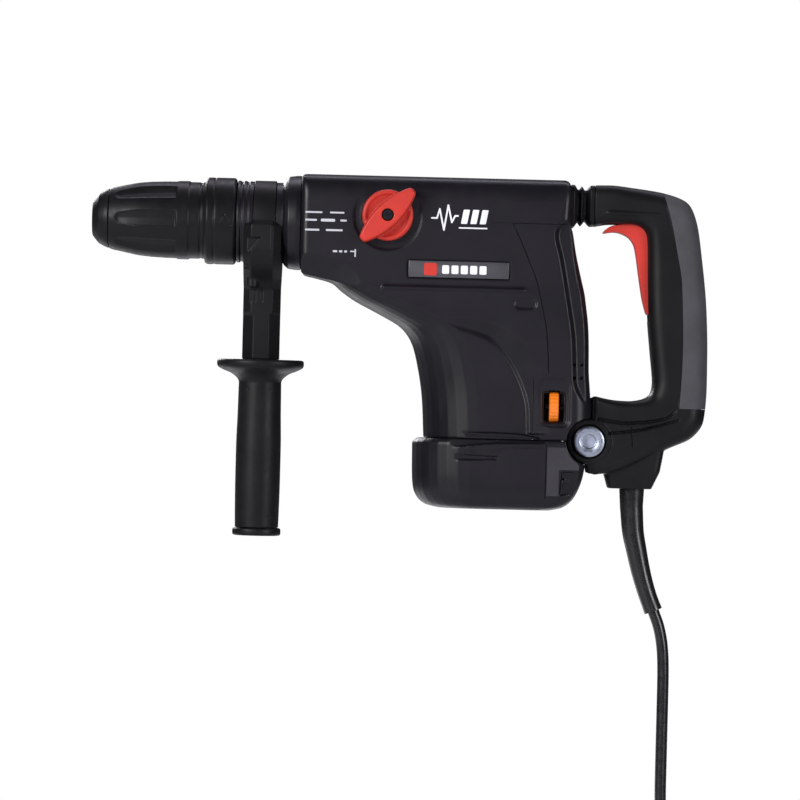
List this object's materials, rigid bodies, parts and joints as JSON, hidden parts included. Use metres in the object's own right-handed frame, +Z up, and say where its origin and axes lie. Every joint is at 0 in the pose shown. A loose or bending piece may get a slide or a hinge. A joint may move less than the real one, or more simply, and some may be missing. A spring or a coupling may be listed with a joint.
{
  "type": "rotary hammer",
  "caption": "L-shaped electric rotary hammer with tool holder, side handle, upright motor, mode knob, speed dial, spring-mounted D-handle with trigger, and mains lead",
  "frame": {"origin": "middle of the rear hand grip, where a hand holds the tool", "axes": "+X runs back along the barrel from the nose to the rear handle, +Y across the tool to its right-hand side, +Z up from the base to the barrel"},
  "size_m": [0.5, 0.103, 0.7502],
  "materials": {
    "rubber_black": "matt moulded rubber",
    "plastic_black": "fine-textured moulded plastic",
    "plastic_dark": "satin moulded plastic, slightly violet",
    "soft_grey": "soft-touch overmould",
    "plastic_red": "satin red moulded plastic",
    "plastic_orange": "orange moulded plastic",
    "steel": "ground and plated steel",
    "aluminium_cast": "cast aluminium",
    "copper": "copper bars and windings",
    "brass": "pressed brass",
    "badge_dark": "smooth blank plate"
  },
  "bodies": {
    "housing": {"nose_collar": "plastic_dark", "spindle_bearing": "steel", "shaft_seal": "rubber_black", "bearing_plate": "aluminium_cast", "crank_bearing": "steel", "motor_bearing_upper": "steel", "motor_bearing_lower": "steel", "stator": "steel", "brush_holder_left": "brass", "brush_holder_right": "brass", "carbon_brush_left": "plastic_black", "carbon_brush_right": "plastic_black", "left_shell": "plastic_dark", "right_shell": "plastic_dark", "rear_cover": "plastic_dark", "base_cover": "plastic_dark", "badge_plate": "badge_dark", "electronics_module": "plastic_black", "bellows_boot": "rubber_black", "damper_spring": "steel", "pivot_bolt": "steel", "pivot_nut": "steel"},
    "spindle": {"dust_cap": "rubber_black", "index_ring": "plastic_black", "tool_holder": "steel", "locking_bar_left": "steel", "locking_bar_right": "steel", "retaining_ring": "steel", "sleeve_spring": "steel", "hammer_tube": "steel", "bevel_ring_gear": "steel"},
    "lock_sleeve": {"lock_sleeve": "rubber_black"},
    "impact_bolt": {"impact_bolt": "steel"},
    "striker": {"striker": "steel"},
    "piston": {"piston": "steel", "wrist_pin": "steel"},
    "connecting_rod": {"connecting_rod": "steel"},
    "crank": {"crank_gear": "steel"},
    "lay_shaft": {"bevel_pinion_shaft": "steel"},
    "rotor": {"armature": "steel", "commutator": "copper", "cooling_fan": "plastic_black"},
    "selector": {"selector_knob": "plastic_red", "selector_screw": "steel", "selector_shaft": "steel"},
    "speed_dial": {"speed_dial": "plastic_orange"},
    "side_handle": {"clamp_band": "plastic_black", "clamp_saddle": "plastic_dark", "clamp_bolt": "steel"},
    "side_grip": {"side_grip": "rubber_black", "end_cap": "plastic_black"},
    "rear_handle": {"handle_left": "plastic_black", "handle_right": "plastic_black", "soft_grip": "soft_grey", "switch_module": "plastic_black", "strain_relief": "rubber_black", "power_cord": "rubber_black", "cord_coil": "rubber_black", "plug": "rubber_black"},
    "trigger": {"trigger": "plastic_red"}
  },
  "joints": [
    {"name": "rotor_spin", "type": "hinge", "parent": "housing", "child": "rotor", "pos_m": [-0.14, 0, 0.065], "axis": [0, 0, 1], "continuous": true},
    {"name": "crank_spin", "type": "hinge", "parent": "housing", "child": "crank", "pos_m": [-0.17, 0, 0.065], "axis": [0, 0, 1], "continuous": true},
    {"name": "lay_shaft_spin", "type": "hinge", "parent": "housing", "child": "lay_shaft", "pos_m": [-0.209, 0, 0.065], "axis": [0, 0, 1], "continuous": true},
    {"name": "spindle_spin", "type": "hinge", "parent": "housing", "child": "spindle", "pos_m": [-0.458, 0, 0.065], "axis": [1, 0, 0], "continuous": true},
    {"name": "lock_sleeve_pull", "type": "slide", "parent": "spindle", "child": "lock_sleeve", "axis": [1, 0, 0], "range_m": [0, 0.009], "stiffness_N_per_m": 1500, "deforming": ["sleeve_spring"]},
    {"name": "impact_bolt_slide", "type": "slide", "parent": "housing", "child": "impact_bolt", "axis": [1, 0, 0], "range_m": [-0.0035, 0.003]},
    {"name": "striker_slide", "type": "slide", "parent": "housing", "child": "striker", "axis": [1, 0, 0], "range_m": [-0.016, 0.012]},
    {"name": "piston_slide", "type": "slide", "parent": "housing", "child": "piston", "axis": [1, 0, 0], "range_m": [0, 0.022]},
    {"name": "connecting_rod_swing", "type": "hinge", "parent": "piston", "child": "connecting_rod", "pos_m": [-0.222, 0, 0.065], "axis": [0, 0, 1], "range_deg": [-12, 12]},
    {"name": "selector_turn", "type": "hinge", "parent": "housing", "child": "selector", "pos_m": [-0.228, -0.04128, 0.071], "axis": [0, 1, 0], "range_deg": [-90, 45]},
    {"name": "speed_dial_turn", "type": "hinge", "parent": "housing", "child": "speed_dial", "pos_m": [-0.0962, -0.0335, -0.0733], "axis": [1, 0, 0], "range_deg": [-135, 135]},
    {"name": "side_handle_swivel", "type": "hinge", "parent": "housing", "child": "side_handle", "pos_m": [-0.3245, 0, 0.065], "axis": [1, 0, 0], "range_deg": [-180, 180]},
    {"name": "side_grip_turn", "type": "hinge", "parent": "side_handle", "child": "side_grip", "pos_m": [-0.3245, 0, -0.0423], "axis": [0, 0, 1], "range_deg": [0, 360]},
    {"name": "rear_handle_swing", "type": "hinge", "parent": "housing", "child": "rear_handle", "pos_m": [-0.068, 0, -0.0995], "axis": [0, -1, 0], "range_deg": [0, 2.2], "stiffness_Nm_per_rad": 150, "deforming": ["bellows_boot", "damper_spring"]},
    {"name": "trigger_press", "type": "hinge", "parent": "rear_handle", "child": "trigger", "pos_m": [-0.0235, 0, 0.005], "axis": [0, 1, 0], "range_deg": [0, 5], "stiffness_Nm_per_rad": 2}
  ],
  "couplings": [
    {"joint": "crank_spin", "follows": "rotor_spin", "ratio": -0.25},
    {"joint": "lay_shaft_spin", "follows": "rotor_spin", "ratio": 0.4},
    {"joint": "spindle_spin", "follows": "rotor_spin", "ratio": -0.12}
  ]
}
